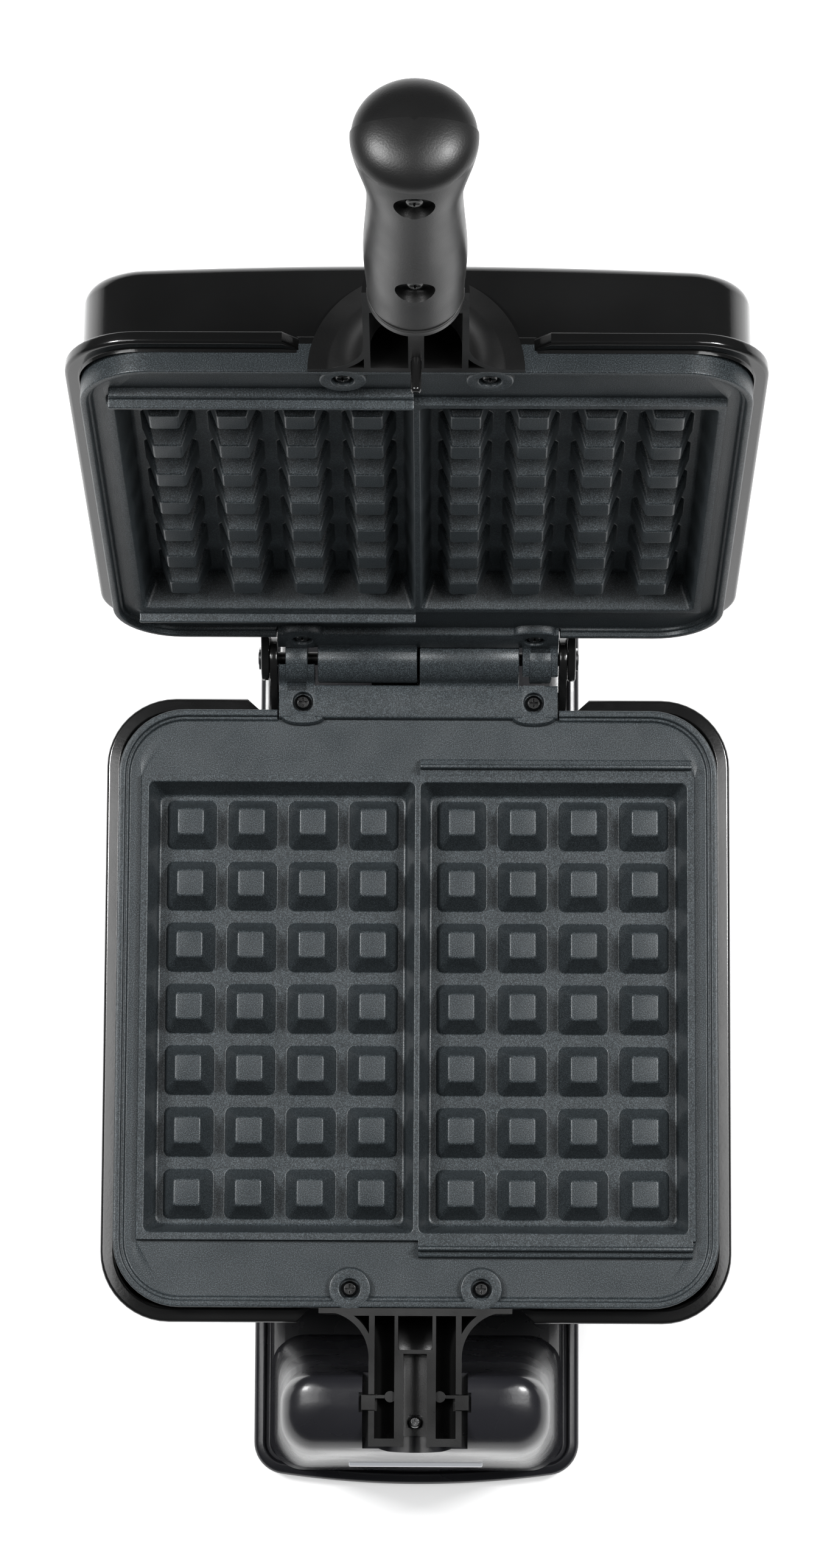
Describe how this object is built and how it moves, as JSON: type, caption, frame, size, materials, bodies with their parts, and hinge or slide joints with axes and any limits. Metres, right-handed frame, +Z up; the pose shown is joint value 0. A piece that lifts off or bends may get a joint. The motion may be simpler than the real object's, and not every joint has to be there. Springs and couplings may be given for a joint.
{
  "type": "rotary waffle maker",
  "caption": "Rotary two-slot waffle maker with hinged lid, deep-pocket plates, long handle and slim pedestal base, shown open.",
  "frame": {"origin": "centre of the open object's bounding box, on the table plane", "axes": "+X to the right seen from the handle side, +Y from the handle side toward the hinge, +Z up from the table"},
  "size_m": [0.235, 0.42, 0.5383],
  "materials": {
    "gloss_black": "deep glossy black moulded plastic, softly reflective",
    "charcoal": "matt charcoal soft-feel plastic",
    "nonstick": "dark blue-grey non-stick coating with a fine metallic speckle",
    "dark_screw": "dark plated steel",
    "steel": "plain bright steel",
    "element": "heat-tinted steel sheath",
    "aluminium": "bright rolled aluminium sheet",
    "rubber": "black rubber",
    "lens": "clear silvery window",
    "red_lamp": "red translucent lamp",
    "green_lamp": "green translucent lamp",
    "ceramic": "cream ceramic or phenolic insulator",
    "bearing": "off-white self-lubricating nylon"
  },
  "bodies": {
    "base": {"base_housing": "gloss_black", "base_bottom_cover": "charcoal", "base_cover_screws": "steel", "foot_front_left": "rubber", "foot_front_right": "rubber", "foot_rear_left": "rubber", "foot_rear_right": "rubber", "indicator_lens": "lens", "pilot_lamp_red": "red_lamp", "pilot_lamp_green": "green_lamp", "terminal_block": "ceramic", "rear_cover": "charcoal", "rear_cover_screws": "steel", "cable_gland": "rubber", "swivel_bush": "bearing", "swivel_shaft": "steel", "swivel_clip": "steel", "swivel_bracket": "gloss_black", "bracket_screws": "steel", "lower_housing": "gloss_black", "lower_plate": "nonstick", "lower_plate_screws": "dark_screw", "lower_heating_element": "element", "lower_reflector": "aluminium", "lower_thermostat": "ceramic", "thermal_fuse": "aluminium", "lower_neck": "gloss_black", "neck_screw": "steel", "hinge_pin": "steel", "hinge_pin_rings": "steel"},
    "lid": {"upper_housing": "gloss_black", "upper_plate": "nonstick", "upper_plate_screws": "dark_screw", "upper_heating_element": "element", "upper_reflector": "aluminium", "upper_thermostat": "ceramic", "upper_neck": "gloss_black", "lock_peg": "gloss_black", "handle_core": "charcoal", "handle_collar": "charcoal", "handle_grip": "charcoal", "handle_back_shell": "gloss_black", "handle_screws": "dark_screw"},
    "lock_left": {"lock_slide_left": "gloss_black"},
    "lock_right": {"lock_slide_right": "gloss_black"}
  },
  "joints": [
    {"name": "lid_hinge", "type": "hinge", "parent": "base", "child": "lid", "pos_m": [0, 0.1, 0.134], "axis": [1, 0, 0], "range_deg": [0, 103]},
    {"name": "lock_left_slide", "type": "slide", "parent": "base", "child": "lock_left", "axis": [1, 0, 0], "range_m": [0, 0.0026]},
    {"name": "lock_right_slide", "type": "slide", "parent": "base", "child": "lock_right", "axis": [-1, 0, 0], "range_m": [0, 0.0026]}
  ],
  "couplings": [
    {"joint": "lock_left_slide", "follows": "lid_hinge", "m_per_rad": 0.001446},
    {"joint": "lock_right_slide", "follows": "lid_hinge", "m_per_rad": 0.001446}
  ]
}
